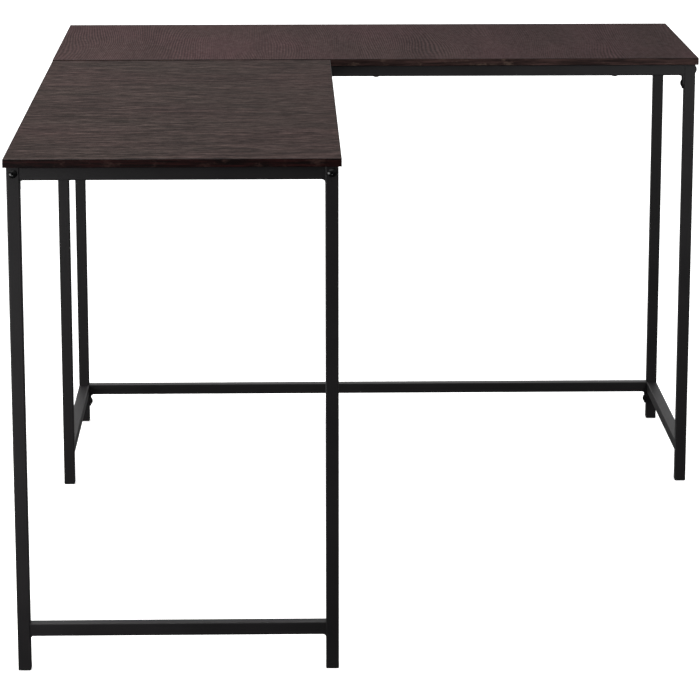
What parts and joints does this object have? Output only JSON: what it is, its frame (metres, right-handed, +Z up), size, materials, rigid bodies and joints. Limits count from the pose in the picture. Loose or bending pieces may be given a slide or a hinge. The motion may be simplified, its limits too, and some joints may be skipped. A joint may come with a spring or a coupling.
{
  "type": "corner desk",
  "caption": "L-shaped desk of two dark laminate boards on welded square-tube end frames, with long tubes bolted between them and plastic foot caps.",
  "frame": {"origin": "on the floor, under the middle of the bounding box", "axes": "+Z up; +Y towards the back of the main desk, so the wing points to -Y; +X to the right as seen from the front, so the wing is under -X"},
  "size_m": [1.12, 1.5, 0.762],
  "materials": {
    "main_board": "satin dark brown wood-grain laminate, grain front to back",
    "wing_board": "satin dark brown wood-grain laminate, grain from side to side",
    "edge_band": "dark red-brown wood-print edge band",
    "black_frame": "satin black powder coat",
    "black_hardware": "glossy black",
    "zinc_steel": "bright zinc",
    "foot_plastic": "black moulded plastic"
  },
  "bodies": {
    "root": {"main_top": "main_board", "main_top_front_edge_band": "edge_band", "main_top_back_edge_band": "edge_band", "main_top_left_edge_band": "edge_band", "main_top_right_edge_band": "edge_band", "wing_top": "wing_board", "wing_top_front_edge_band": "edge_band", "wing_top_back_edge_band": "edge_band", "wing_top_left_edge_band": "edge_band", "wing_top_right_edge_band": "edge_band", "left_end_front_leg": "black_frame", "left_end_rear_leg": "black_frame", "left_end_top_rail": "black_frame", "left_end_lower_rail": "black_frame", "left_end_welds": "black_frame", "right_end_front_leg": "black_frame", "right_end_rear_leg": "black_frame", "right_end_top_rail": "black_frame", "right_end_lower_rail": "black_frame", "right_end_welds": "black_frame", "wing_end_left_leg": "black_frame", "wing_end_right_leg": "black_frame", "wing_end_top_rail": "black_frame", "wing_end_lower_rail": "black_frame", "wing_end_welds": "black_frame", "main_front_rail": "black_frame", "main_rear_rail": "black_frame", "back_stretcher": "black_frame", "wing_left_rail": "black_frame", "wing_right_rail": "black_frame", "main_front_rail_end_plates": "black_frame", "main_rear_rail_end_plates": "black_frame", "back_stretcher_end_plates": "black_frame", "wing_left_rail_end_plates": "black_frame", "wing_right_rail_end_plates": "black_frame", "main_rail_welds": "black_frame", "back_stretcher_welds": "black_frame", "wing_rail_welds": "black_frame", "main_rail_hex_nuts": "zinc_steel", "wing_rail_hex_nuts": "zinc_steel", "left_end_press_nuts": "zinc_steel", "right_end_press_nuts": "zinc_steel", "wing_end_press_nuts": "zinc_steel", "main_through_bolts": "black_hardware", "wing_through_bolts": "black_hardware", "main_plate_bolts": "black_hardware", "stretcher_plate_bolts": "black_hardware", "wing_plate_bolts": "black_hardware", "main_top_screws": "black_hardware", "wing_top_screws": "black_hardware", "left_front_foot_cap": "foot_plastic", "left_rear_foot_cap": "foot_plastic", "right_front_foot_cap": "foot_plastic", "right_rear_foot_cap": "foot_plastic", "wing_left_foot_cap": "foot_plastic", "wing_right_foot_cap": "foot_plastic"}
  },
  "joints": []
}
